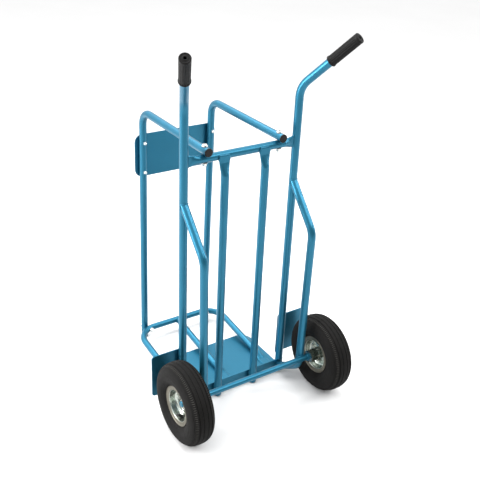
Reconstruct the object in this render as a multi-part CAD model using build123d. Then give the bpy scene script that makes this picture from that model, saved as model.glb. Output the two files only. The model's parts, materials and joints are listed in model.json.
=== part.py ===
from build123d import *
import math
import os

# Two-wheeled hand truck with a fixed front support frame.
# Millimetres. +Z up, load side -Y, operator side +Y, operator's left +X.
# The origin is on the ground at the middle of the overall footprint.

# ---------------------------------------------------------------- dimensions
SHIFT_Y = 76.67           # moves the side-tube plane behind the footprint centre

MAIN_X = 192.4            # side tubes, half spacing
MAIN_D = 25.4
WALL = 1.6
BEND_Z = 1010.6           # where the side tubes bend into the handles
HANDLE_END = (270.8, 143.7, 1174.8)
HANDLE_R = 75.0
GRIP_L = 110.4
GRIP_R = 16.0

BAR_Z = 845.2             # cross bar
BAR_Y = 1.0
BAR_D = 24.9

UP_X = 69.3               # inner uprights
UP_Y = 20.7
UP_D = 24.9

BRACE_D = 25.4
BRACE_TOP = (MAIN_X, 0.0, 718.8)
BRACE_BEND = (190.8, 117.8, 588.0)
BRACE_LOW = (184.0, 120.4, 92.0)
BRACE_END = (185.5, 0.0, 10.6)
BRACE_R1 = 60.0
BRACE_R2 = 48.0

AXLE_Y = 137.7
AXLE_Z = 130.0
AXLE_D = 19.0
AXLE_HALF = 274.0

PLATE_T = 4.0             # toe plate
PLATE_HALF = 203.0
PLATE_FRONT = -230.6
FLANGE_Y0 = 4.2
FLANGE_Y1 = 8.2
FLANGE_H = 45.0
FLANGE_HALF = 202.0

GUARD_X1 = 293.5          # wheel guards
GUARD_Z0 = 60.3
GUARD_Z1 = 212.0
GUARD_T = 3.0

POST_D = 24.3             # front posts with their arms
POST_X_TOP = 126.7
POST_X_BOT = 127.6
POST_Y_TOP = -384.3
POST_LEAN = 19.1
POST_R = 47.0
ARM_END = 22.4

LOOP_D = 22.0             # base loop
LOOP_X = 166.0
LOOP_Z = 42.25
LOOP_REAR = -34.0
LOOP_R = 68.0
PRESS_Y0 = -92.0         # where the loop and the middle bar start to be pressed flat
PRESS_Y1 = -62.0
PRESS_W = 30.0
PRESS_T = 4.4

PANEL_HALF = 150.0
PANEL_Z0 = 638.6
PANEL_Z1 = 786.8
PANEL_T = 2.5
PANEL_R = 27.0

WHEEL_X = 259.6           # wheels
WHEEL_R = 130.0
RIM_HALF = 28.6
RIM_R = 62.0
SEAT_R = 50.8
HUB_R = 20.0
HUB_IN = -51.6
HUB_OUT = 4.4
RUN = 0.3                 # end clearance between the hub and its collar and washer

os.makedirs("parts", exist_ok=True)


# ------------------------------------------------------------------- helpers
def vec(p):
    return Vector(p[0], p[1], p[2])


def path(pts, radii):
    p = [vec(q) for q in pts]
    edges, cur = [], p[0]
    for i in range(1, len(p) - 1):
        a = (p[i - 1] - p[i]).normalized()
        b = (p[i + 1] - p[i]).normalized()
        ang = math.acos(max(-1.0, min(1.0, a.dot(b))))
        t = radii[i - 1] / math.tan(ang / 2)
        mid = (a + b).normalized()
        centre = p[i] + mid * (radii[i - 1] / math.sin(ang / 2))
        p1, p2 = p[i] + a * t, p[i] + b * t
        edges.append(Edge.make_line(cur, p1))
        edges.append(Edge.make_three_point_arc(p1, centre - mid * radii[i - 1], p2))
        cur = p2
    edges.append(Edge.make_line(cur, p[-1]))
    return Wire(edges)


def rod(pts, radii, d):
    w = path(pts, radii)
    start = Plane(origin=vec(pts[0]), z_dir=vec(pts[1]) - vec(pts[0]))
    return sweep(start * Circle(d / 2), path=w)


def tube(pts, radii, d, wall=WALL):
    return rod(pts, radii, d) - rod(pts, radii, d - 2 * wall)


def cyl(p, q, r):
    a, b = Vector(*p), Vector(*q)
    pl = Plane(origin=a, z_dir=b - a)
    return extrude(pl * Circle(r), (b - a).length)


def box(x0, x1, y0, y1, z0, z1):
    return Pos((x0 + x1) / 2, (y0 + y1) / 2, (z0 + z1) / 2) * Box(x1 - x0, y1 - y0, z1 - z0)


def hexagon(p, q, af, bore=0.0):
    a, b = Vector(*p), Vector(*q)
    pl = Plane(origin=a, z_dir=b - a)
    h = extrude(pl * RegularPolygon(af / 2, 6, major_radius=False), (b - a).length)
    rim = extrude(pl * Circle(af / 2 * 1.12), (b - a).length)
    rim = chamfer(rim.edges(), 0.9)
    h = h & rim
    if bore:
        h = h - extrude(pl * Circle(bore), (b - a).length)
    return h


def ring(p, q, r1, r0):
    a, b = Vector(*p), Vector(*q)
    pl = Plane(origin=a, z_dir=b - a)
    return extrude(pl * (Circle(r1) - Circle(r0)), (b - a).length)


def mirror_x(s):
    return mirror(s, about=Plane.YZ)


def out(name, *solids):
    items = []
    for s in solids:
        items.extend(s.solids() if hasattr(s, "solids") else [s])
    moved = [Pos(0, SHIFT_Y, 0) * s for s in items]
    shape = moved[0] if len(moved) == 1 else Compound(children=moved)
    export_step(shape, "parts/%s.step" % name)


def pair(name, s):
    out(name + "_left", s)
    out(name + "_right", mirror_x(s))


# ---------------------------------------------- front frame local coordinates
lean = math.hypot(POST_LEAN, BAR_Z + (BAR_D + POST_D) / 2)
ARM_Z = BAR_Z + (BAR_D + POST_D) / 2
DOWN = (0.0, -POST_LEAN / lean, -ARM_Z / lean)
REAR = (0.0, ARM_Z / lean, -POST_LEAN / lean)


def front(x, u, w):
    # x across, u down the posts from the arm axis, w rearwards of the post axis
    return (x, POST_Y_TOP + u * DOWN[1] + w * REAR[1], ARM_Z + u * DOWN[2] + w * REAR[2])


# ---------------------------------------------------------------- side tubes
side_pts = [(MAIN_X, 0, PLATE_T), (MAIN_X, 0, BEND_Z), HANDLE_END]
hdir = (vec(HANDLE_END) - vec((MAIN_X, 0, BEND_Z))).normalized()
tube_end = vec(HANDLE_END) - hdir * 4.0
side_pts[2] = (tube_end.X, tube_end.Y, tube_end.Z)
side_full = rod(side_pts, [HANDLE_R], MAIN_D)
side = tube(side_pts, [HANDLE_R], MAIN_D)
side = side - box(MAIN_X - 20, MAIN_X + 20, FLANGE_Y0, 40, -5, FLANGE_H)

# --------------------------------------------------------------------- grips
g_end = vec(HANDLE_END)
g_in = g_end - hdir * GRIP_L
gpl = Plane(origin=g_in, z_dir=hdir)
flutes = Circle(GRIP_R) - PolarLocations(GRIP_R + 0.35, 28) * Circle(1.05)
grip = extrude(gpl * flutes, GRIP_L - 3.0)
cap_pl = Plane(origin=g_in + hdir * (GRIP_L - 6.0), z_dir=hdir)
cap = extrude(cap_pl * Circle(GRIP_R), 6.0)
cap = fillet(cap.edges().sort_by(Axis(origin=g_end, direction=hdir))[-1:], 2.2)
collar = extrude(gpl * Circle(GRIP_R + 1.4), 5.0)
collar = fillet(collar.edges(), 1.4)
grip = grip + cap + collar
grip = grip - cyl((g_in - hdir * 1), (g_end - hdir * 4.0), MAIN_D / 2)
grip = grip - cyl((g_end - hdir * 5), (g_end + hdir * 1), 4.2)

# ------------------------------------------------------- pressed tube ends
def slot_sketch(w, t):
    return SlotOverall(w, t)


def upright():
    pl_round = Plane(origin=(UP_X, UP_Y, 792), x_dir=(1, 0, 0), z_dir=(0, 0, 1))
    flat_y = BAR_Y + BAR_D / 2 + 2.3
    pl_flat = Plane(origin=(UP_X, flat_y, 828), x_dir=(1, 0, 0), z_dir=(0, 0, 1))
    low = cyl((UP_X, UP_Y, 12), (UP_X, UP_Y, 792), UP_D / 2)
    low = low - cyl((UP_X, UP_Y, 11), (UP_X, UP_Y, 793), UP_D / 2 - WALL)
    neck = loft([pl_round * Circle(UP_D / 2), pl_flat * slot_sketch(35.0, 4.6)])
    hollow = loft([pl_round * Circle(UP_D / 2 - WALL), pl_flat * slot_sketch(31.0, 0.8)])
    tongue = extrude(pl_flat * slot_sketch(35.0, 4.6), 20)
    return low + (neck - hollow) + tongue


def bar():
    x_flat = 174.0
    x_round = 146.0
    body = cyl((-x_round, BAR_Y, BAR_Z), (x_round, BAR_Y, BAR_Z), BAR_D / 2)
    body = body - cyl((-x_round - 1, BAR_Y, BAR_Z), (x_round + 1, BAR_Y, BAR_Z), BAR_D / 2 - WALL)
    pr = Plane(origin=(x_round, BAR_Y, BAR_Z), x_dir=(0, 0, 1), z_dir=(1, 0, 0))
    pf = Plane(origin=(x_flat, BAR_Y, BAR_Z), x_dir=(0, 0, 1), z_dir=(1, 0, 0))
    neck = loft([pr * Circle(BAR_D / 2), pf * slot_sketch(34.0, 9.0)])
    hollow = loft([pr * Circle(BAR_D / 2 - WALL), pf * slot_sketch(30.5, 5.4)])
    end = extrude(pf * slot_sketch(34.0, 9.0), 16) - extrude(pf * slot_sketch(30.5, 5.4), 16)
    e = (neck - hollow) + end
    e = e - side_full
    return body + e + mirror_x(e)


cross = bar()
inner_up = upright()
foot_cap = cyl((UP_X, UP_Y, 0), (UP_X, UP_Y, 12), UP_D / 2)
foot_cap = fillet(foot_cap.edges().sort_by(Axis.Z)[:1], 7.0)

# -------------------------------------------------------------------- braces
brace_pts = [BRACE_TOP, BRACE_BEND, BRACE_LOW, BRACE_END]
brace_full = rod(brace_pts, [BRACE_R1, BRACE_R2], BRACE_D)
brace = tube(brace_pts, [BRACE_R1, BRACE_R2], BRACE_D)
axle_bar = cyl((-AXLE_HALF, AXLE_Y, AXLE_Z), (AXLE_HALF, AXLE_Y, AXLE_Z), AXLE_D / 2)
brace = brace - side_full - box(150, 230, -60, FLANGE_Y1, -20, 60) - axle_bar
brace = brace.solids().sort_by(SortBy.VOLUME)[-1]

# ---------------------------------------------------------------------- axle
PIN_X = 269.2
axle = axle_bar - cyl((PIN_X, AXLE_Y, AXLE_Z - 20), (PIN_X, AXLE_Y, AXLE_Z + 20), 1.9)
axle = axle - cyl((-PIN_X, AXLE_Y, AXLE_Z - 20), (-PIN_X, AXLE_Y, AXLE_Z + 20), 1.9)
axle = chamfer(axle.edges().filter_by(GeomType.CIRCLE).group_by(Axis.X)[-1], 1.2)
axle = chamfer(axle.edges().filter_by(GeomType.CIRCLE).group_by(Axis.X)[0], 1.2)
hub_in_x = WHEEL_X + HUB_IN
hub_out_x = WHEEL_X + HUB_OUT
collar_a = ring((200.0, AXLE_Y, AXLE_Z), (hub_in_x - RUN, AXLE_Y, AXLE_Z), 13.5, AXLE_D / 2)
washer_a = ring((hub_out_x + RUN, AXLE_Y, AXLE_Z), (hub_out_x + RUN + 2.0, AXLE_Y, AXLE_Z), 16.0, AXLE_D / 2 + 0.15)
pin = cyl((PIN_X, AXLE_Y, AXLE_Z - 16), (PIN_X, AXLE_Y, AXLE_Z + 12), 1.5)
eye = Pos(PIN_X, AXLE_Y, AXLE_Z + 14.2) * Rot(0, 90, 0) * Torus(3.0, 1.3)
leg = cyl((PIN_X, AXLE_Y, AXLE_Z - 15.2), (PIN_X, AXLE_Y + 8, AXLE_Z - 18.5), 1.2)
cotter = pin + eye + leg

# ----------------------------------------------------------------- toe plate
plate = box(-PLATE_HALF, PLATE_HALF, PLATE_FRONT, FLANGE_Y1, 0, PLATE_T)
plate = fillet(plate.edges().filter_by(Axis.Z).group_by(Axis.Y)[0], 40.0)
flange = box(-FLANGE_HALF, FLANGE_HALF, FLANGE_Y0, FLANGE_Y1, 0, FLANGE_H)
plate = plate + flange

# -------------------------------------------------------------- wheel guards
guard = box(MAIN_X - 8, GUARD_X1, -MAIN_D / 2 - GUARD_T, -MAIN_D / 2, GUARD_Z0, GUARD_Z1)
guard = fillet(guard.edges().filter_by(Axis.Y).group_by(Axis.X)[-1], 11.0)

# --------------------------------------------------------------- front posts
foot = front(0, lean, 0)
post_pts = [(POST_X_BOT, POST_Y_TOP - POST_LEAN, 0.0), (POST_X_TOP, POST_Y_TOP, ARM_Z), (POST_X_TOP, ARM_END, ARM_Z)]
post = tube(post_pts, [POST_R], POST_D)
post = post - box(60, 200, -460, -340, -20, 3.0)

# bolt places
PANEL_U = [ARM_Z - 765.0, ARM_Z - 664.0]
LOOP_U = ARM_Z - LOOP_Z


def post_x(u):
    return POST_X_TOP + (POST_X_BOT - POST_X_TOP) * u / lean


for u in PANEL_U:
    post = post - cyl(front(post_x(u), u, -30), front(post_x(u), u, 30), 3.3)
post = post - cyl((POST_X_TOP, BAR_Y, ARM_Z - 20), (POST_X_TOP, BAR_Y, ARM_Z + 20), 4.3)
cross = cross - cyl((POST_X_TOP, BAR_Y, BAR_Z - 20), (POST_X_TOP, BAR_Y, BAR_Z + 20), 4.3)
cross = cross - cyl((-POST_X_TOP, BAR_Y, BAR_Z - 20), (-POST_X_TOP, BAR_Y, BAR_Z + 20), 4.3)

# arm end caps and post foot plugs
arm_cap = cyl((POST_X_TOP, ARM_END, ARM_Z), (POST_X_TOP, ARM_END + 4.0, ARM_Z), POST_D / 2 + 0.6)
arm_cap = fillet(arm_cap.edges().sort_by(Axis.Y)[-1:], 2.4)
arm_cap = arm_cap + cyl((POST_X_TOP, ARM_END - 14, ARM_Z), (POST_X_TOP, ARM_END + 1, ARM_Z), POST_D / 2 - WALL)
plug_dir = (0.0, POST_LEAN / lean, ARM_Z / lean)
pb = (POST_X_BOT, POST_Y_TOP - POST_LEAN, 0.0)
pt = (pb[0], pb[1] + plug_dir[1] * 16, pb[2] + plug_dir[2] * 16)
plug = rod([(POST_X_BOT, POST_Y_TOP - POST_LEAN, 0.0), (POST_X_TOP, POST_Y_TOP, ARM_Z)], [], POST_D - 2 * WALL) & box(60, 200, -460, -340, 0, 18)
plug_rim = rod([(pb[0], pb[1] - 0.3, -10.0), (POST_X_TOP, POST_Y_TOP, ARM_Z)], [], POST_D) & box(60, 200, -460, -340, 0, 3.0)
plug = plug + plug_rim

# ----------------------------------------------------------------- base loop
bx = post_x(LOOP_U)
foot_y = front(0, LOOP_U, 0)[1]
reach = LOOP_R + (LOOP_D + POST_D) / 2 + 0.15
TILT = math.asin((bx - (LOOP_X - LOOP_R)) / reach)
loop_y = foot_y + reach * math.cos(TILT) - LOOP_R
rear_z = PLATE_T + LOOP_D / 2 + 0.05


def base_axis(s, w):
    # along the bolt through a post and the bend of the loop, w rearwards of the post axis
    c = front(s * bx, LOOP_U, 0)
    k = math.cos(TILT)
    return (c[0] - s * w * math.sin(TILT), c[1] + w * k * REAR[1], c[2] + w * k * REAR[2])


def pressed_end(x):
    pr = Plane(origin=(x, PRESS_Y0, rear_z), x_dir=(1, 0, 0), z_dir=(0, 1, 0))
    pf = Plane(origin=(x, PRESS_Y1, PLATE_T + PRESS_T / 2 + 0.05), x_dir=(1, 0, 0), z_dir=(0, 1, 0))
    neck = loft([pr * Circle(LOOP_D / 2), pf * slot_sketch(PRESS_W, PRESS_T)])
    hollow = loft([pr * Circle(LOOP_D / 2 - WALL), pf * slot_sketch(PRESS_W - 4.0, 0.8)])
    return (neck - hollow) + extrude(pf * slot_sketch(PRESS_W, PRESS_T), LOOP_REAR - PRESS_Y1)


loop_pts = [(LOOP_X, PRESS_Y0, rear_z), (LOOP_X, PRESS_Y0 - 20.0, rear_z), (LOOP_X, loop_y, LOOP_Z),
            (-LOOP_X, loop_y, LOOP_Z), (-LOOP_X, PRESS_Y0 - 20.0, rear_z), (-LOOP_X, PRESS_Y0, rear_z)]
loop_full = rod(loop_pts, [100.0, LOOP_R, LOOP_R, 100.0], LOOP_D)
loop = tube(loop_pts, [100.0, LOOP_R, LOOP_R, 100.0], LOOP_D)
loop = loop + pressed_end(LOOP_X) + pressed_end(-LOOP_X)
middle = tube([(0, PRESS_Y0, rear_z), (0, PRESS_Y0 - 20.0, rear_z), (0, loop_y, LOOP_Z)], [100.0], LOOP_D)
middle = middle + pressed_end(0)
middle = middle - loop_full
middle = middle.solids().sort_by(SortBy.VOLUME)[-1]
for s in (1, -1):
    loop = loop - cyl(base_axis(s, 0), base_axis(s, 60), 4.3)
    post_hole = cyl(base_axis(s, -30), base_axis(s, 30), 4.3)
    if s == 1:
        post = post - post_hole

# --------------------------------------------------------------- front panel
u0, u1 = ARM_Z - PANEL_Z1, ARM_Z - PANEL_Z0
w_back = -POST_D / 2
panel_plane = Plane(origin=vec(front(0, (u0 + u1) / 2, w_back)), x_dir=(1, 0, 0), z_dir=(-REAR[0], -REAR[1], -REAR[2]))
panel = extrude(panel_plane * RectangleRounded(2 * PANEL_HALF, u1 - u0, PANEL_R), PANEL_T)
for u in PANEL_U:
    for s in (1, -1):
        panel = panel - cyl(front(s * post_x(u), u, -40), front(s * post_x(u), u, 0), 3.3)

# ----------------------------------------------------------------- fasteners
arm_bolts, arm_washers, arm_nuts = [], [], []
top = ARM_Z + POST_D / 2
low = BAR_Z - BAR_D / 2
for s in (1, -1):
    x = s * POST_X_TOP
    arm_washers.append(ring((x, BAR_Y, top), (x, BAR_Y, top + 1.6), 9.0, 4.2))
    arm_washers.append(ring((x, BAR_Y, low - 1.6), (x, BAR_Y, low), 9.0, 4.2))
    head = cyl((x, BAR_Y, top + 1.6), (x, BAR_Y, top + 6.0), 7.0)
    head = fillet(head.edges().sort_by(Axis.Z)[-1:], 1.8)
    socket = extrude(Plane(origin=(x, BAR_Y, top + 2.2)) * RegularPolygon(3.2, 6, major_radius=False), 6)
    shank = cyl((x, BAR_Y, low - 1.6 - 13.5), (x, BAR_Y, top + 1.7), 3.95)
    shank = chamfer(shank.edges().sort_by(Axis.Z)[:1], 0.8)
    arm_bolts.append(head + shank - socket)
    arm_nuts.append(hexagon((x, BAR_Y, low - 1.6), (x, BAR_Y, low - 8.4), 13.0, 4.0))

panel_bolts, panel_nuts = [], []
for u in PANEL_U:
    for s in (1, -1):
        x = s * post_x(u)
        wf = w_back - PANEL_T
        head = cyl(front(x, u, wf), front(x, u, wf - 3.3), 6.5)
        head = fillet(head.edges().sort_by(Axis.Y)[:1], 2.4)
        shank = cyl(front(x, u, wf - 0.1), front(x, u, POST_D / 2 + 5.2), 2.95)
        panel_bolts.append(head + shank)
        nut = hexagon(front(x, u, POST_D / 2), front(x, u, POST_D / 2 + 5.0), 10.0)
        dome = cyl(front(x, u, POST_D / 2 + 4.0), front(x, u, POST_D / 2 + 10.0), 4.6)
        dome = fillet(dome.edges().sort_by(Axis.Y)[-1:], 4.2)
        nut = nut + dome - cyl(front(x, u, POST_D / 2 - 1), front(x, u, POST_D / 2 + 7.0), 3.0)
        panel_nuts.append(nut)

base_bolts, base_nuts, base_washers = [], [], []
wr = POST_D / 2 + LOOP_D + 0.15
for s in (1, -1):
    off = 0.9
    head = hexagon(base_axis(s, -POST_D / 2 - 5.3), base_axis(s, -POST_D / 2), 13.0)
    shank = cyl(base_axis(s, -POST_D / 2 - 0.1), base_axis(s, wr + off + 1.6 + 11.0), 3.95)
    base_bolts.append(head + shank)
    base_washers.append(ring(base_axis(s, wr + off), base_axis(s, wr + off + 1.6), 8.5, 4.2))
    base_nuts.append(hexagon(base_axis(s, wr + off + 1.6), base_axis(s, wr + off + 8.4), 13.0, 4.0))

# -------------------------------------------------------------------- wheels
# wheel-local: a along +X from the wheel's centre plane, r radial
def revolved(profile):
    face = Plane(origin=(WHEEL_X, AXLE_Y, AXLE_Z), x_dir=(1, 0, 0), z_dir=(0, -1, 0)) * profile
    return revolve(face, Axis((WHEEL_X, AXLE_Y, AXLE_Z), (1, 0, 0)), 360)


def poly(pts):
    return make_face(Polyline(*pts, close=True))


def smooth(outer, inner):
    # closed section from two splines joined by straight ends
    o = Spline(*outer)
    i = Spline(*inner)
    l1 = Line(outer[-1], inner[0])
    l2 = Line(inner[-1], outer[0])
    return make_face([o, l1, i, l2])


right = [(0.0, 130.0), (13.0, 129.2), (24.0, 126.2), (32.0, 120.5), (37.8, 112.0), (41.0, 101.5),
         (41.5, 92.0), (39.8, 82.0), (36.2, 73.5), (31.4, 67.2)]
outer_pts = [(-a, r) for a, r in reversed(right)] + right[1:]
tyre_in = [(26.0, 62.6), (30.5, 70.0), (34.4, 80.0), (35.5, 92.0), (33.6, 103.5), (27.8, 114.5),
           (16.0, 121.4), (0.0, 123.4)]
bead_r = [(31.4, 67.2), (29.4, 64.9), (26.3, 64.2), (26.3, 54.0), (25.5, 52.2), (24.0, SEAT_R + 0.2), (17.0, SEAT_R + 0.2), (17.0, 56.0), (26.0, 62.6)]
inner_pts = tyre_in + [(-a, r) for a, r in reversed(tyre_in[:-1])]
edges = [Spline(*outer_pts)]
for k in range(len(bead_r) - 1):
    edges.append(Line(bead_r[k], bead_r[k + 1]))
edges.append(Spline(*inner_pts))
bead_l = [(-a, r) for a, r in reversed(bead_r)]
for k in range(len(bead_l) - 1):
    edges.append(Line(bead_l[k], bead_l[k + 1]))
tyre = revolved(make_face(edges))
for a in (-20.0, -7.5, 7.5, 20.0):
    tyre = tyre - revolved(poly([(a - 1.9, 134.0), (a - 1.1, 125.4 if abs(a) < 10 else 123.4),
                                 (a + 1.1, 125.4 if abs(a) < 10 else 123.4), (a + 1.9, 134.0)]))

tube_o = [(0.0, 122.9), (15.8, 120.9), (27.3, 114.1), (33.0, 103.3), (34.9, 92.0), (33.8, 80.2),
          (29.9, 70.4), (25.6, 63.4), (16.4, 57.4), (14.0, 52.6), (0.0, 51.8)]
full_o = tube_o + [(-a, r) for a, r in reversed(tube_o[1:-1])]
tube_i = [(0.0, 120.6), (14.6, 118.8), (25.3, 112.5), (30.7, 102.5), (32.5, 92.0), (31.5, 80.9),
          (27.8, 71.6), (23.6, 65.2), (15.0, 59.4), (12.4, 55.2), (0.0, 54.4)]
full_i = tube_i + [(-a, r) for a, r in reversed(tube_i[1:-1])]
inner_tube = revolved(poly(full_o) - poly(full_i))

rim_o = [(0.0, HUB_R), (0.0, 47.6), (1.2, 49.9), (3.4, SEAT_R), (24.6, SEAT_R), (26.1, 51.6), (26.6, 53.4),
         (26.6, 60.6), (27.6, 62.6), (29.4, 63.4), (30.4, 62.6), (30.2, 61.6), (29.2, 61.4), (28.6, 60.0),
         (28.6, 52.2), (27.4, 49.8), (25.2, SEAT_R - 2.0), (4.6, SEAT_R - 2.0), (2.9, 47.9), (2.0, 46.0),
         (2.0, HUB_R)]
rim_out = revolved(poly(rim_o))
rim_in = revolved(poly([(-a, r) for a, r in rim_o]))

BOLT_R = 33.5
bolt_c = []
for k in range(4):
    t = math.radians(90 * k)
    bolt_c.append((AXLE_Y + BOLT_R * math.cos(t), AXLE_Z + BOLT_R * math.sin(t)))
rim_bolts, rim_nuts = [], []
for y, z in bolt_c:
    hole = cyl((WHEEL_X - 6, y, z), (WHEEL_X + 6, y, z), 4.3)
    rim_out = rim_out - hole
    rim_in = rim_in - hole
    rim_bolts.append(hexagon((WHEEL_X + 2, y, z), (WHEEL_X + 7.3, y, z), 13.0)
                     + cyl((WHEEL_X - 13.0, y, z), (WHEEL_X + 2.1, y, z), 3.95))
    rim_nuts.append(hexagon((WHEEL_X - 8.8, y, z), (WHEEL_X - 2.0, y, z), 13.0, 4.0))

# valve stem near the bottom of the rim, outboard side
v0 = (WHEEL_X + 11.0, AXLE_Y, AXLE_Z - 51.6)
v1 = (WHEEL_X + 13.0, AXLE_Y, AXLE_Z - 45.5)
v2 = (WHEEL_X + 25.0, AXLE_Y, AXLE_Z - 35.0)
rim_out = rim_out - cyl((WHEEL_X + 11.0, AXLE_Y, AXLE_Z - 56), (WHEEL_X + 11.0, AXLE_Y, AXLE_Z - 46), 5.4)
valve = cyl(v0, (WHEEL_X + 11.0, AXLE_Y, AXLE_Z - 45.0), 5.0)
valve = valve + cyl((WHEEL_X + 11.0, AXLE_Y, AXLE_Z - 46.0), v2, 4.2)
dcap = (vec(v2) - vec((WHEEL_X + 11.0, AXLE_Y, AXLE_Z - 46.0))).normalized()
c0 = vec(v2) - dcap * 9.0
valve = valve + cyl(c0, v2, 4.9)
valve = valve + (Pos(WHEEL_X + 11.0, AXLE_Y, AXLE_Z - 46.0) * Sphere(4.6))

hub_prof = [(HUB_IN, 17.5), (HUB_IN, HUB_R), (HUB_OUT, HUB_R), (HUB_OUT, 17.5), (HUB_OUT - 11.6, 17.5),
            (HUB_OUT - 11.6, 15.5), (HUB_IN + 11.6, 15.5), (HUB_IN + 11.6, 17.5)]
hub = revolved(poly(hub_prof))
races_o, races_i, balls = [], [], []
for a0 in (HUB_IN + 0.5, HUB_OUT - 11.5):
    a1 = a0 + 11.0
    groove_o = revolved(make_face(Pos((a0 + a1) / 2, 13.5) * Circle(2.75).wire()))
    races_o.append(revolved(poly([(a0, 14.9), (a0, 17.5), (a1, 17.5), (a1, 14.9)])) - groove_o)
    races_i.append(revolved(poly([(a0, AXLE_D / 2 + 0.05), (a0, 12.1), (a1, 12.1), (a1, AXLE_D / 2 + 0.05)])) - groove_o)
    for k in range(9):
        t = math.radians(40 * k)
        balls.append(Pos(WHEEL_X + (a0 + a1) / 2, AXLE_Y + 13.5 * math.cos(t), AXLE_Z + 13.5 * math.sin(t)) * Sphere(2.7))

# -------------------------------------------------------------------- export
pair("side_tube", side)
pair("grip", grip)
out("cross_bar", cross)
pair("inner_upright", inner_up)
out("upright_foot_caps", foot_cap, mirror_x(foot_cap))
pair("brace", brace)
out("axle", axle)
out("axle_collars", collar_a, mirror_x(collar_a))
out("axle_washers", washer_a, mirror_x(washer_a))
out("cotter_pins", cotter, mirror_x(cotter))
out("toe_plate", plate)
pair("wheel_guard", guard)
pair("front_post", post)
out("arm_end_caps", arm_cap, mirror_x(arm_cap))
out("post_foot_plugs", plug, mirror_x(plug))
out("base_loop", loop)
out("base_middle_bar", middle)
out("front_panel", panel)
out("arm_bolts", *arm_bolts)
out("arm_washers", *arm_washers)
out("arm_nuts", *arm_nuts)
out("panel_bolts", *panel_bolts)
out("panel_nuts", *panel_nuts)
out("base_bolts", *base_bolts)
out("base_washers", *base_washers)
out("base_nuts", *base_nuts)
pair("tyre", tyre)
pair("inner_tube", inner_tube)
pair("rim_outer", rim_out)
pair("rim_inner", rim_in)
pair("hub", hub)
for name, items in (("rim_bolts", rim_bolts), ("rim_nuts", rim_nuts), ("bearing_outer_rings", races_o),
                    ("bearing_inner_rings", races_i), ("bearing_balls", balls), ("valve", [valve])):
    out(name + "_left", *items)
    out(name + "_right", *[mirror_x(s) for s in items])

front_y = min(s.bounding_box().min.Y for s in base_bolts)
rear_y = tyre.bounding_box().max.Y
print("y extent", front_y, rear_y, "shift for a centred footprint", -(front_y + rear_y) / 2)
print("top", grip.bounding_box().max.Z, "half width", tyre.bounding_box().max.X, grip.bounding_box().max.X)
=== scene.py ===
import json
import math

import bpy
from mathutils import Matrix, Vector


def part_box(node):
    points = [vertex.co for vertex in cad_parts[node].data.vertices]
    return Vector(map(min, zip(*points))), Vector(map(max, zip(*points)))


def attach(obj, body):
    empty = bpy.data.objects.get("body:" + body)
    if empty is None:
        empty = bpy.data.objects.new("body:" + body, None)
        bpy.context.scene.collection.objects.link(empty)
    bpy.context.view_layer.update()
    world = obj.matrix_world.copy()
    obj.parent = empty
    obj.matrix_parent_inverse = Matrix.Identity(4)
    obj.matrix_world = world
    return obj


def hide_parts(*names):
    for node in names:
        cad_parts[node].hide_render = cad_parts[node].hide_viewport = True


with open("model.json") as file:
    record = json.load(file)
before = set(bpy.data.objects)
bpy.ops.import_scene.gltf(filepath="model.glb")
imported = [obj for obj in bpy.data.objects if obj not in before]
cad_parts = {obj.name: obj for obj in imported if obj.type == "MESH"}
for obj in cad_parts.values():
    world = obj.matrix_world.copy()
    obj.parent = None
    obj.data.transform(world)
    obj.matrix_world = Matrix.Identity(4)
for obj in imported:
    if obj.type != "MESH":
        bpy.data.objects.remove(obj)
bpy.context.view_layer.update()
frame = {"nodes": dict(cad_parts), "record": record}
nodes = frame["nodes"]

# ------------------------------------------------------------------ places
# The side tubes stand in the plane y = S; the axle is 137.7 mm behind it.
ax_lo, ax_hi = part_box("axle")
AXLE_Y = (ax_lo[1] + ax_hi[1]) / 2
AXLE_Z = (ax_lo[2] + ax_hi[2]) / 2
S = AXLE_Y - 0.1377
ty_lo, ty_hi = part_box("tyre_left")
WHEEL_X = (ty_lo[0] + ty_hi[0]) / 2


def mm(x, y, z):
    """A point in millimetres from the side tubes' plane, in the row frame."""
    return Vector((x * 0.001, y * 0.001 + S, z * 0.001))


# ---------------------------------------------------------------- materials
def material(name):
    m = bpy.data.materials.new(name)
    m.use_nodes = True
    nt = m.node_tree
    nt.nodes.clear()
    out = nt.nodes.new("ShaderNodeOutputMaterial")
    sh = nt.nodes.new("ShaderNodeBsdfPrincipled")
    nt.links.new(sh.outputs[0], out.inputs[0])
    return m, nt, sh


def node(nt, kind, **kw):
    n = nt.nodes.new(kind)
    for k, v in kw.items():
        setattr(n, k, v)
    return n


def coords(nt, scale=(1, 1, 1)):
    tc = node(nt, "ShaderNodeTexCoord")
    mp = node(nt, "ShaderNodeMapping")
    mp.inputs["Scale"].default_value = scale
    nt.links.new(tc.outputs["Object"], mp.inputs[0])
    return mp.outputs[0]


def noise_tex(nt, vec, scale, detail=3.0, rough=0.55, dist=0.0):
    n = node(nt, "ShaderNodeTexNoise")
    n.inputs["Scale"].default_value = scale
    n.inputs["Detail"].default_value = detail
    n.inputs["Roughness"].default_value = rough
    n.inputs["Distortion"].default_value = dist
    nt.links.new(vec, n.inputs["Vector"])
    return n.outputs["Fac"]


def ramp(nt, fac, stops):
    r = node(nt, "ShaderNodeValToRGB")
    el = r.color_ramp.elements
    el[0].position, el[0].color = stops[0][0], (*stops[0][1], 1)
    el[1].position, el[1].color = stops[-1][0], (*stops[-1][1], 1)
    for p, c in stops[1:-1]:
        e = el.new(p)
        e.color = (*c, 1)
    nt.links.new(fac, r.inputs[0])
    return r.outputs[0]


def spread(nt, fac, lo, hi, a=0.3, b=0.7):
    r = node(nt, "ShaderNodeMapRange")
    r.inputs["From Min"].default_value = a
    r.inputs["From Max"].default_value = b
    r.inputs["To Min"].default_value = lo
    r.inputs["To Max"].default_value = hi
    nt.links.new(fac, r.inputs[0])
    return r.outputs[0]


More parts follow.
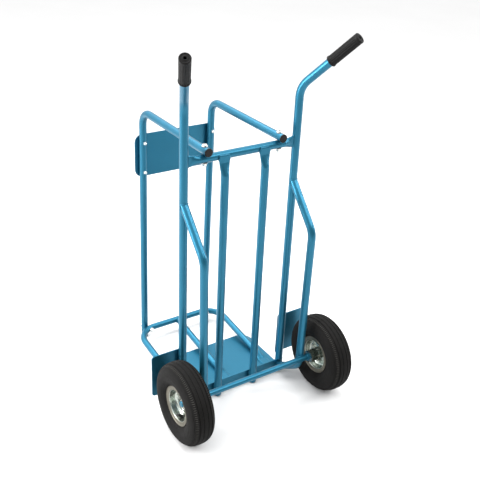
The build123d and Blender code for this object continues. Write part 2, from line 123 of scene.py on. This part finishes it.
def bump(nt, sh, height, strength, distance, below=None):
    b = node(nt, "ShaderNodeBump")
    b.inputs["Strength"].default_value = strength
    b.inputs["Distance"].default_value = distance
    nt.links.new(height, b.inputs["Height"])
    if below is not None:
        nt.links.new(below, b.inputs["Normal"])
    nt.links.new(b.outputs[0], sh.inputs["Normal"])
    return b.outputs[0]


def paint(name, base, deep):
    """Satin powder coat on steel: fine orange peel, faint pooling, a sheen that varies a little."""
    m, nt, sh = material(name)
    v = coords(nt)
    big = noise_tex(nt, v, 9.0, 4.0)
    col = ramp(nt, big, [(0.3, deep), (0.7, base)])
    nt.links.new(col, sh.inputs["Base Color"])
    fine = noise_tex(nt, v, 60.0, 4.0, 0.6)
    nt.links.new(spread(nt, fine, 0.33, 0.40), sh.inputs["Roughness"])
    sh.inputs["Metallic"].default_value = 0.72
    sh.inputs["Coat Weight"].default_value = 0.10
    sh.inputs["Coat Roughness"].default_value = 0.22
    peel = noise_tex(nt, v, 420.0, 1.0, 0.5)
    bump(nt, sh, peel, 0.03, 0.0003)
    return m


def zinc(name, warm, cool, rough, scale):
    """Bright zinc plate, with the slight yellow and green cast of its passivation."""
    m, nt, sh = material(name)
    v = coords(nt)
    cast = noise_tex(nt, v, scale, 3.0, 0.6, 0.6)
    nt.links.new(ramp(nt, cast, [(0.3, cool), (0.5, [(a + b) / 2 for a, b in zip(warm, cool)]), (0.7, warm)]), sh.inputs["Base Color"])
    sh.inputs["Metallic"].default_value = 1.0
    fine = noise_tex(nt, v, 260.0, 4.0, 0.6)
    nt.links.new(spread(nt, fine, rough * 0.8, rough * 1.35), sh.inputs["Roughness"])
    bump(nt, sh, noise_tex(nt, v, 900.0, 2.0), 0.08, 0.0003)
    return m


def rubber(name, dark, light, rough, grain=900.0, depth=0.07):
    m, nt, sh = material(name)
    v = coords(nt)
    big = noise_tex(nt, v, 14.0, 5.0, 0.6)
    nt.links.new(ramp(nt, big, [(0.3, dark), (0.72, light)]), sh.inputs["Base Color"])
    fine = noise_tex(nt, v, 120.0, 4.0, 0.65)
    nt.links.new(spread(nt, fine, rough - 0.06, rough + 0.08), sh.inputs["Roughness"])
    sh.inputs["Specular IOR Level"].default_value = 0.09
    bump(nt, sh, noise_tex(nt, v, grain, 3.0, 0.6), depth, 0.0005)
    return m


BLUE = paint("blue_powder_coat", (0.0118, 0.132, 0.217), (0.0102, 0.118, 0.195))
ZINC = zinc("zinc_fasteners", (0.72, 0.70, 0.64), (0.64, 0.68, 0.70), 0.26, 160.0)
RIM = zinc("zinc_pressed_rim", (0.29, 0.27, 0.225), (0.24, 0.29, 0.27), 0.22, 26.0)
STEEL = zinc("ground_steel", (0.66, 0.66, 0.66), (0.60, 0.61, 0.63), 0.2, 90.0)
TYRE = rubber("tyre_rubber", (0.0055, 0.0053, 0.0051), (0.0084, 0.0080, 0.0077), 0.72)
GRIP = rubber("grip_rubber", (0.0068, 0.0066, 0.0066), (0.0102, 0.0098, 0.0098), 0.5, 1400.0, 0.10)
CAP = rubber("black_plastic", (0.012, 0.0112, 0.0112), (0.018, 0.0165, 0.0165), 0.4, 1800.0, 0.06)
# paler rubber for the tops of the tread's cross ridges: a painted highlight
TYRE_RIDGE_HIGHLIGHT = rubber("tyre_ridge_painted_highlight", (0.0360, 0.0350, 0.0320), (0.0480, 0.0465, 0.0430), 0.66)
INNER = rubber("inner_rubber", (0.018, 0.018, 0.018), (0.026, 0.026, 0.026), 0.5)

SLOT_MAT = {"blue_paint": BLUE, "grip_rubber": GRIP, "black_plastic": CAP, "zinc_fastener": ZINC,
            "tyre_rubber": TYRE, "rim_zinc": RIM, "inner_rubber": INNER, "bearing_steel": STEEL}
SLOT = {s["node"]: s["material_slot"] for s in frame["record"]["subparts"]}
for name, o in nodes.items():
    m = SLOT_MAT[SLOT[name]]
    o.data.materials.clear()
    o.data.materials.append(m)


# ------------------------------------------------------------- mesh helpers
def make(name, verts, faces, mat, body, sharp=32.0):
    me = bpy.data.meshes.new(name)
    me.from_pydata([tuple(v) for v in verts], [], faces)
    me.validate()
    me.update()
    o = bpy.data.objects.new(name, me)
    bpy.context.scene.collection.objects.link(o)
    me.materials.append(mat)
    for p in me.polygons:
        p.use_smooth = True
    me.set_sharp_from_angle(angle=math.radians(sharp))
    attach(o, body)
    return o


def lathe(name, profile, n, mat, body, side=1, warp=None, sharp=32.0):
    """Closed (a, r) profile in mm turned about the axle, a outboard from the wheel's centre plane."""
    verts, faces = [], []
    k = len(profile)
    for i in range(n):
        t = 2 * math.pi * i / n
        for j, (a, r) in enumerate(profile):
            if warp:
                a, r = warp(a, r, t, i, j)
            verts.append((side * (WHEEL_X + a * 0.001), AXLE_Y + r * 0.001 * math.cos(t), AXLE_Z + r * 0.001 * math.sin(t)))
    for i in range(n):
        for j in range(k):
            q = (i * k + j, i * k + (j + 1) % k, ((i + 1) % n) * k + (j + 1) % k, ((i + 1) % n) * k + j)
            faces.append(q if side < 0 else q[::-1])
    return make(name, verts, faces, mat, body, sharp)


def catmull(pts, per):
    out = []
    for i in range(len(pts) - 1):
        p0, p1, p2, p3 = pts[max(i - 1, 0)], pts[i], pts[i + 1], pts[min(i + 2, len(pts) - 1)]
        for s in range(per):
            t = s / per
            out.append(tuple(0.5 * (2 * p1[c] + (p2[c] - p0[c]) * t + (2 * p0[c] - 5 * p1[c] + 4 * p2[c] - p3[c]) * t * t
                                    + (3 * p1[c] - p0[c] - 3 * p2[c] + p3[c]) * t ** 3) for c in (0, 1)))
    out.append(pts[-1])
    return out


# -------------------------------------------------------------------- tyres
RIGHT = [(0.0, 130.0), (13.0, 129.2), (24.0, 126.2), (32.0, 120.5), (37.8, 112.0), (41.0, 101.5),
         (41.4, 92.0), (39.8, 82.0), (36.2, 73.5), (31.4, 67.2)]
half = catmull(RIGHT, 8)


def crown(a):
    """Outer radius at a, from the smooth half section."""
    a = abs(a)
    for (a0, r0), (a1, r1) in zip(half, half[1:]):
        if a0 <= a <= a1:
            return r0 + (r1 - r0) * (a - a0) / max(a1 - a0, 1e-6)
    return half[-1][1]


GROOVES = [(-20.0, 1.3, 2.4), (-7.5, 1.0, 1.6), (7.5, 1.0, 1.6), (20.0, 1.3, 2.4)]


def tyre_section():
    top = []
    marks = set()
    a = -29.0
    while a <= 29.001:
        marks.add(round(a, 2))
        a += 2.9
    for g, w, d in GROOVES:
        for e in (-w - 0.9, -w - 0.5, -w, -w * 0.5, w * 0.5, w, w + 0.5, w + 0.9):
            marks.add(round(g + e, 2))
    for a in sorted(marks):
        r = crown(a)
        for g, w, d in GROOVES:
            x = abs(a - g)
            if x < w + 0.5:
                r -= d * min(1.0, max(0.0, (w + 0.5 - x) / 0.9))
        top.append((a, r))
    for e in (23.5, 23.7, 24.3, 24.4, 30.8, 30.9, 31.5, 31.7, 32.1, 32.3, 34.7, 34.9):
        top += [(e, crown(e)), (-e, crown(e))]
    top.sort()
    top = [p for k, p in enumerate(top) if k == 0 or p[0] - top[k - 1][0] > 0.04]
    side = [p for p in half if p[0] > 35.2 or p[1] < 112]
    # moulded rings on the sidewall
    ringed = []
    for a, r in side:
        lift = 0.0
        for c, w in ((100.0, 1.6), (76.0, 1.3)):
            lift += 0.55 * math.exp(-((r - c) / w) ** 2)
        ringed.append((a - lift * 0.9, r))
    bead = [(30.0, 65.2), (28.0, 64.2), (26.3, 63.4), (26.3, 54.2), (25.5, 52.2), (24.0, 51.2), (17.2, 51.2),
            (17.2, 56.0), (26.0, 62.8), (30.4, 70.0), (34.2, 80.0), (35.2, 92.0), (33.2, 103.5), (27.4, 114.2),
            (15.8, 121.0), (0.0, 122.6)]
    right_side = ringed + bead
    left_side = [(-a, r) for a, r in reversed(right_side[:-1])]
    return top + right_side + left_side


SECTION = tyre_section()
TEETH = 124


def tread(a, r, t, i, j):
    # fine cross serration on a band of each shoulder, and a shallow edge step either side of it
    x = abs(a)
    if r > 108 and 23.6 < x < 31.6:
        lift = 0.0 if (i % 4) in (0, 1) else -1.9
        edge = max(0.0, min(1.0, (x - 23.6) / 0.7, (31.6 - x) / 0.7))
        r += lift * edge
    if r > 108 and 32.2 < x < 34.8:
        r -= 1.3
    return a, r


for side, label in ((1, "left"), (-1, "right")):
    o = lathe("tyre_carcass_" + label, SECTION, TEETH * 4, TYRE, "wheel_" + label, side, tread, 40.0)
    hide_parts("tyre_" + label)
    # the tops of the small cross ridges get a paler rubber: a painted highlight where light catches them
    o.data.materials.append(TYRE_RIDGE_HIGHLIGHT)
    rows = len(SECTION)
    for p in o.data.polygons:
        c = p.center
        a = abs(abs(c.x) - WHEEL_X) * 1000
        r = math.hypot(c.y - AXLE_Y, c.z - AXLE_Z) * 1000
        if 24.2 < a < 31.0 and r > 112 and (p.index // rows) % 4 == 0:
            p.material_index = 1

# --------------------------------------------------------------------- rims
def rim_material():
    """Zinc-plated pressing: bright in the dish; the rolled edge is rougher, and its colour is painted darker and warmer
    as painted shade for an edge in partial shadow.
    """
    m, nt, sh = material("zinc_rim_pressing")
    v = coords(nt)
    off = node(nt, "ShaderNodeVectorMath", operation="SUBTRACT")
    off.inputs[1].default_value = (0.0, AXLE_Y, AXLE_Z)
    nt.links.new(v, off.inputs[0])
    flat = node(nt, "ShaderNodeVectorMath", operation="MULTIPLY")
    flat.inputs[1].default_value = (0.0, 1.0, 1.0)
    nt.links.new(off.outputs[0], flat.inputs[0])
    dist = node(nt, "ShaderNodeVectorMath", operation="LENGTH")
    nt.links.new(flat.outputs[0], dist.inputs[0])
    edge = spread(nt, dist.outputs["Value"], 0.0, 1.0, 0.0488, 0.0512)
    cast = noise_tex(nt, v, 18.0, 2.0, 0.5, 0.4)
    dish = ramp(nt, cast, [(0.3, (0.36, 0.42, 0.395)), (0.7, (0.46, 0.48, 0.43))])
    # the rolled edge's colour, about a third as bright as the dish: painted shade for the edge in partial shadow
    lip_painted_shade = ramp(nt, cast, [(0.3, (0.135, 0.128, 0.104)), (0.7, (0.160, 0.150, 0.121))])
    mix = node(nt, "ShaderNodeMix", data_type="RGBA")
    nt.links.new(edge, mix.inputs["Factor"])
    nt.links.new(dish, [i for i in mix.inputs if i.name == "A" and i.type == "RGBA"][0])
    nt.links.new(lip_painted_shade, [i for i in mix.inputs if i.name == "B" and i.type == "RGBA"][0])
    nt.links.new([o for o in mix.outputs if o.type == "RGBA"][0], sh.inputs["Base Color"])
    sh.inputs["Metallic"].default_value = 0.95
    fine = noise_tex(nt, v, 200.0, 3.0, 0.6)
    add = node(nt, "ShaderNodeMath", operation="ADD")
    nt.links.new(spread(nt, fine, 0.17, 0.25), add.inputs[0])
    nt.links.new(spread(nt, dist.outputs["Value"], 0.0, 0.30, 0.0485, 0.0515), add.inputs[1])
    nt.links.new(add.outputs[0], sh.inputs["Roughness"])
    bump(nt, sh, noise_tex(nt, v, 500.0, 1.0), 0.03, 0.0002)
    return m


RIM_MAT = rim_material()
RIM_SECTION = catmull([(2.0, 20.0), (2.0, 24.0), (2.1, 30.0), (2.3, 37.5), (3.2, 42.0), (6.2, 46.2), (11.0, 48.3), (17.0, 48.8),
                       (23.6, 48.8), (26.4, 49.5), (28.2, 51.4), (28.6, 54.0), (28.6, 58.6), (29.0, 60.6), (29.9, 61.4),
                       (30.45, 62.3), (29.8, 63.2), (28.6, 63.2), (27.3, 62.4), (26.6, 60.8)], 4)
RIM_SECTION += [(26.6, 53.4), (26.1, 51.6), (24.6, 50.8), (15.0, 50.75), (8.0, 50.2), (3.6, 48.4), (1.2, 45.4), (0.05, 41.5), (0.0, 30.0), (0.0, 20.0)]
for side, label in ((1, "left"), (-1, "right")):
    for kind, k in (("outer", 1), ("inner", -1)):
        sec = [(k * a, r) for a, r in RIM_SECTION]
        o = lathe("rim_%s_pressing_%s" % (kind, label), sec if k > 0 else sec[::-1], 192, RIM_MAT, "wheel_" + label, side, None, 50.0)
        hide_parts("rim_%s_%s" % (kind, label))

# -------------------------------------------------------------- weld beads
def wobble(k):
    return 0.5 * math.sin(k * 12.9898) + 0.3 * math.sin(k * 4.137 + 1.3) + 0.2 * math.sin(k * 1.731 + 0.4)


def bead(name, pts, rad, closed=False, seed=0.0):
    """A laid weld: a rippled, slightly uneven half-round run through the points (mm)."""
    p = [Vector(q) for q in pts]
    if closed:
        p.append(p[0].copy())
    length = [0.0]
    for q0, q1 in zip(p, p[1:]):
        length.append(length[-1] + (q1 - q0).length)
    total = length[-1]
    n = max(6, int(total / 0.9))
    run, k = [], 0
    for i in range(n + (0 if closed else 1)):
        d = total * i / n
        while k < len(p) - 2 and length[k + 1] < d:
            k += 1
        f = (d - length[k]) / max(length[k + 1] - length[k], 1e-9)
        run.append(p[k].lerp(p[k + 1], f))
    m = len(run)
    sides = 10
    verts, faces = [], []
    up = Vector((0.31, 0.17, 0.93)).normalized()
    prev = None
    for i in range(m):
        if closed:
            tan = (run[(i + 1) % m] - run[i - 1]).normalized()
        else:
            tan = (run[min(i + 1, m - 1)] - run[max(i - 1, 0)]).normalized()
        nrm = (up if prev is None else prev)
        nrm = (nrm - tan * nrm.dot(tan)).normalized()
        prev = nrm
        bi = tan.cross(nrm)
        d = total * i / n
        scale = 1.0 + 0.13 * abs(math.sin(math.pi * d / 2.7)) + 0.10 * wobble(d * 0.21 + seed)
        if not closed:
            e = min(d, total - d)
            scale *= min(1.0, 0.35 + e / (rad * 2.2))
        for j in range(sides):
            t = 2 * math.pi * j / sides
            v = run[i] + (nrm * math.cos(t) + bi * math.sin(t)) * rad * scale
            verts.append(mm(*v))
    rows = m if closed else m - 1
    for i in range(rows):
        for j in range(sides):
            a0, a1 = i * sides + j, i * sides + (j + 1) % sides
            b0, b1 = ((i + 1) % m) * sides + j, ((i + 1) % m) * sides + (j + 1) % sides
            faces.append((a0, a1, b1, b0))
    if not closed:
        faces.append(tuple(range(sides))[::-1])
        faces.append(tuple((m - 1) * sides + j for j in range(sides)))
    return make(name, verts, faces, BLUE, "frame", 60.0)


def meet(p, q, rb, inside):
    """Where the tube from p to q leaves a surface: inside(point) is < 0 in the surface."""
    p, q = Vector(p), Vector(q)
    b = (q - p).normalized()
    e1 = b.cross(Vector((1, 0, 0)) if abs(b.x) < 0.8 else Vector((0, 1, 0))).normalized()
    e2 = b.cross(e1)
    pts = []
    for i in range(48):
        t = 2 * math.pi * i / 48
        o = p + (e1 * math.cos(t) + e2 * math.sin(t)) * rb
        lo, hi = 0.0, (q - p).length
        for _ in range(40):
            mid = (lo + hi) / 2
            if inside(o + b * mid) < 0:
                lo = mid
            else:
                hi = mid
        pts.append(o + b * lo)
    return pts


def mirrored(pts, s):
    return [(s * v[0], v[1], v[2]) for v in pts]


foot_y = -384.3 - 19.1 * (869.8 - 42.25) / 869.8
reach = 68.0 + 11.0 + 12.15 + 0.15
tilt = math.asin((127.55 - 98.0) / reach)
LOOP_Y = foot_y + reach * math.cos(tilt) - 68.0

for s, label in ((1, "left"), (-1, "right")):
    top = meet((192.4, 0, 718.8), (190.8, 117.8, 588.0), 12.7, lambda v: math.hypot(v.x - 192.4, v.y) - 12.9)
    bead("weld_brace_top_" + label, mirrored(top, s), 2.0, True, 1.0 + s)

    slot = []
    for i in range(40):
        t = 2 * math.pi * i / 40
        dy = 4.5 * math.cos(t)
        dz = 12.5 * max(-1.0, min(1.0, 1.6 * math.sin(t))) + 4.5 * math.sin(t)
        y = 1.0 + dy
        slot.append((192.4 - math.sqrt(12.7 ** 2 - y * y) - 0.3, y, 845.2 + dz))
    bead("weld_bar_end_" + label, mirrored(slot, s), 1.9, True, 3.0 + s)

    for part, seg in (("top", [(69.3 - 15.5, 14.9, 848.9), (69.3 - 5, 15.2, 849.2), (69.3 + 5, 15.1, 849.0), (69.3 + 15.5, 14.8, 848.8)]),
                      ("inner", [(69.3 - 18.0, 15.2, 832), (69.3 - 18.0, 15.0, 844)]),
                      ("outer", [(69.3 + 18.0, 15.2, 833), (69.3 + 18.0, 15.0, 845)])):
        bead("weld_tongue_%s_%s" % (part, label), mirrored(seg, s), 2.2 if part == "top" else 1.7, False, 5.0 + s)

    bead("weld_tube_flange_" + label, mirrored([(182.6, 9.4, 44.6), (188, 10.6, 44.2), (197, 10.6, 44.2), (202.0, 9.4, 44.6)], s), 2.1, False, 7.0 + s)
    low = meet((185.5, 0.0, 10.6), (184.0, 120.4, 92.0), 12.7, lambda v: v.y - 8.6)
    low = [v for v in low]
    bead("weld_brace_foot_" + label, mirrored([(v.x, v.y, max(v.z, 2.2)) for v in low], s), 1.9, True, 8.0 + s)

    ring_a, ring_b = [], []
    for i in range(25):
        c = math.radians(121) + (math.radians(239) - math.radians(121)) * i / 24
        y, z = 137.7 + 9.7 * math.cos(c), 130.0 + 9.7 * math.sin(c)
        w = math.sqrt(max(0.0, 12.9 ** 2 - (y - 120.4) ** 2))
        ring_a.append((184.5 + w, y, z))
        ring_b.append((184.5 - w, y, z))
    bead("weld_brace_axle_" + label, mirrored(ring_a + ring_b[::-1], s), 1.8, True, 9.0 + s)

    for k, z in enumerate((72.0, 127.0, 184.0)):
        bead("weld_guard_%s_%d" % (label, k), mirrored([(199.6, -11.6, z), (199.8, -11.5, z + 9), (199.6, -11.6, z + 19)], s), 1.8, False, 11.0 + k)
    for part, x in (("inner", 69.3 - 7.6), ("outer", 69.3 + 7.6)):
        bead("weld_upright_%s_%s" % (part, label), mirrored([(x, 9.5, 9.0), (x, 9.6, 25.0), (x, 9.5, 43.0)], s), 1.9, False, 13.0 + s)
    ring_c = [(200.2, 137.7 + 10.0 * math.cos(2 * math.pi * i / 36), 130.0 + 10.0 * math.sin(2 * math.pi * i / 36)) for i in range(36)]
    bead("weld_collar_" + label, mirrored(ring_c, s), 1.4, True, 15.0 + s)

for s, label in ((1, "left"), (0, "middle"), (-1, "right")):
    x = 166.0 * s
    bead("weld_pressed_end_" + label, [(x - 15.6, -55.0, 5.0), (x - 15.5, -36.0, 5.0), (x - 12.5, -33.4, 5.0), (x + 12.5, -33.4, 5.0),
                                       (x + 15.5, -36.0, 5.0), (x + 15.6, -55.0, 5.0)], 1.5, False, 17.0 + s)
mid = meet((0, LOOP_Y, 42.25), (0, -112.0, 15.05), 11.0, lambda v: math.hypot(v.y - LOOP_Y, v.z - 42.25) - 11.2)
bead("weld_middle_bar", mid, 1.8, True, 19.0)

# -------------------------------------------------------------------- grips
g_end = Vector((270.8, 143.7, 1174.8))
g_dir = (g_end - Vector((192.4, 0.0, 1010.6))).normalized()
g_e1 = g_dir.cross(Vector((0, 0, 1))).normalized()
g_e2 = g_dir.cross(g_e1)
# (distance from the outer end along the grip, radius, flute depth)
G_OUT = [(-110.4, 12.75, 0), (-110.4, 15.4, 0), (-110.0, 16.6, 0), (-109.0, 17.3, 0), (-107.4, 17.4, 0), (-106.0, 17.2, 0),
         (-105.2, 16.6, 0), (-104.8, 16.0, 0.15), (-103.8, 15.95, 0.8), (-101.5, 15.95, 1.0), (-80.0, 15.95, 1.0), (-55.0, 15.95, 1.0),
         (-30.0, 15.95, 1.0), (-11.0, 15.95, 1.0), (-8.6, 15.95, 0.7), (-7.4, 15.95, 0.1), (-6.6, 15.98, 0), (-2.6, 15.98, 0),
         (-1.4, 15.7, 0), (-0.5, 15.0, 0), (-0.05, 13.9, 0), (-0.05, 13.2, 0), (-0.7, 12.7, 0), (-0.9, 11.8, 0), (-0.9, 8.2, 0),
         (-0.7, 7.6, 0), (-0.1, 7.0, 0), (-0.05, 6.2, 0), (-0.05, 4.8, 0), (-0.4, 4.3, 0), (-1.0, 4.2, 0), (-4.0, 4.2, 0), (-4.0, 12.72, 0)]
for s, label in ((1, "left"), (-1, "right")):
    verts, faces = [], []
    n, k = 16 * 12, len(G_OUT)
    for i in range(n):
        t = 2 * math.pi * i / n
        groove = max(0.0, 1.0 - abs(((i % 12) - 6) / 2.6) ** 2)
        for d, rad, fl in G_OUT:
            rr = rad - fl * groove
            v = g_end + g_dir * d + (g_e1 * math.cos(t) + g_e2 * math.sin(t)) * rr
            verts.append(mm(s * v.x, v.y, v.z))
    for i in range(n):
        for j in range(k):
            q = (i * k + j, i * k + (j + 1) % k, ((i + 1) % n) * k + (j + 1) % k, ((i + 1) % n) * k + j)
            faces.append(q if s < 0 else q[::-1])
    o = make("grip_sleeve_" + label, verts, faces, GRIP, "frame", 45.0)
    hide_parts("grip_" + label)

# ------------------------------------------------------------ floor, lights
def plane(name, size, z):
    me = bpy.data.meshes.new(name)
    s = size / 2
    me.from_pydata([(-s, -s, z), (s, -s, z), (s, s, z), (-s, s, z)], [], [(0, 1, 2, 3)])
    o = bpy.data.objects.new(name, me)
    bpy.context.scene.collection.objects.link(o)
    return o


floor = plane("studio_floor", 80.0, 0.0)
fm, fnt, fsh = material("studio_floor_paper")
fco = coords(fnt)
fcol = ramp(fnt, noise_tex(fnt, fco, 1.5, 2.0), [(0.3, (0.625, 0.625, 0.625)), (0.7, (0.640, 0.640, 0.640))])
fnt.links.new(fcol, fsh.inputs["Base Color"])
fsh.inputs["Roughness"].default_value = 0.9
fsh.inputs["Specular IOR Level"].default_value = 0.1
floor.data.materials.append(fm)

world = bpy.data.worlds.new("studio")
bpy.context.scene.world = world
world.use_nodes = True
wnt = world.node_tree
wnt.nodes.clear()
wout = wnt.nodes.new("ShaderNodeOutputWorld")
wbg = wnt.nodes.new("ShaderNodeBackground")
wbg.inputs[0].default_value = (1.0, 1.0, 1.0, 1.0)
wtc = wnt.nodes.new("ShaderNodeTexCoord")
wdot = wnt.nodes.new("ShaderNodeVectorMath")
wdot.operation = "DOT_PRODUCT"
wdot.inputs[1].default_value = (0.22, -0.50, 0.84)
wnt.links.new(wtc.outputs["Generated"], wdot.inputs[0])
wmr = wnt.nodes.new("ShaderNodeMapRange")
wmr.interpolation_type = "SMOOTHSTEP"
wmr.inputs["From Min"].default_value = -0.10
wmr.inputs["From Max"].default_value = 0.80
wmr.inputs["To Min"].default_value = 0.30
wmr.inputs["To Max"].default_value = 1.55
wnt.links.new(wdot.outputs["Value"], wmr.inputs[0])
wnt.links.new(wmr.outputs[0], wbg.inputs[1])
wnt.links.new(wbg.outputs[0], wout.inputs[0])


def area(name, pos, target, size, power, color=(1, 1, 1)):
    ld = bpy.data.lights.new(name, "AREA")
    ld.shape = "RECTANGLE"
    ld.size, ld.size_y = size
    ld.energy = power
    ld.color = color
    o = bpy.data.objects.new(name, ld)
    bpy.context.scene.collection.objects.link(o)
    o.location = pos
    d = Vector(target) - Vector(pos)
    o.rotation_euler = d.to_track_quat("-Z", "Y").to_euler()
    return o


area("key_left", (2.9, -0.9, 1.7), (0, 0, 0.6), (0.8, 2.6), 165.0)
area("rim_right", (-2.6, 0.9, 1.9), (0, 0, 0.7), (0.7, 2.4), 60.0)
area("front_top", (-0.9, 1.9, 3.1), (0, 0, 0.7), (1.6, 1.6), 50.0)
area("top_soft", (0.2, -1.6, 3.4), (0, 0, 0.5), (3.0, 1.6), 110.0)
sun = bpy.data.lights.new("fill_sun", "SUN")
sun.energy = 0.8
sun.angle = math.radians(100)
so = bpy.data.objects.new("fill_sun", sun)
bpy.context.scene.collection.objects.link(so)
so.rotation_euler = Vector((-0.08, 0.05, -1.0)).to_track_quat("-Z", "Y").to_euler()

# ------------------------------------------------------------------- camera
cam_pos = mm(1128.3104, 1677.6379, 1620.8562)
cam_aim = mm(113.0754, 176.1299, 666.2408)
roll = math.radians(2.6424)
d = (cam_aim - cam_pos).normalized()
r = d.cross(Vector((0, 0, 1))).normalized()
u = r.cross(d)
r2 = r * math.cos(roll) + u * math.sin(roll)
u2 = -r * math.sin(roll) + u * math.cos(roll)
cd = bpy.data.cameras.new("camera")
cam = bpy.data.objects.new("camera", cd)
bpy.context.scene.collection.objects.link(cam)
rot = Matrix((r2, u2, -d)).transposed()
cam.matrix_world = Matrix.Translation(cam_pos) @ rot.to_4x4()
cd.sensor_width = 36.0
cd.lens = 748.1548 * 36.0 / 480.0
cd.clip_end = 200.0
bpy.context.scene.camera = cam
bpy.context.scene.view_settings.view_transform = "Standard"
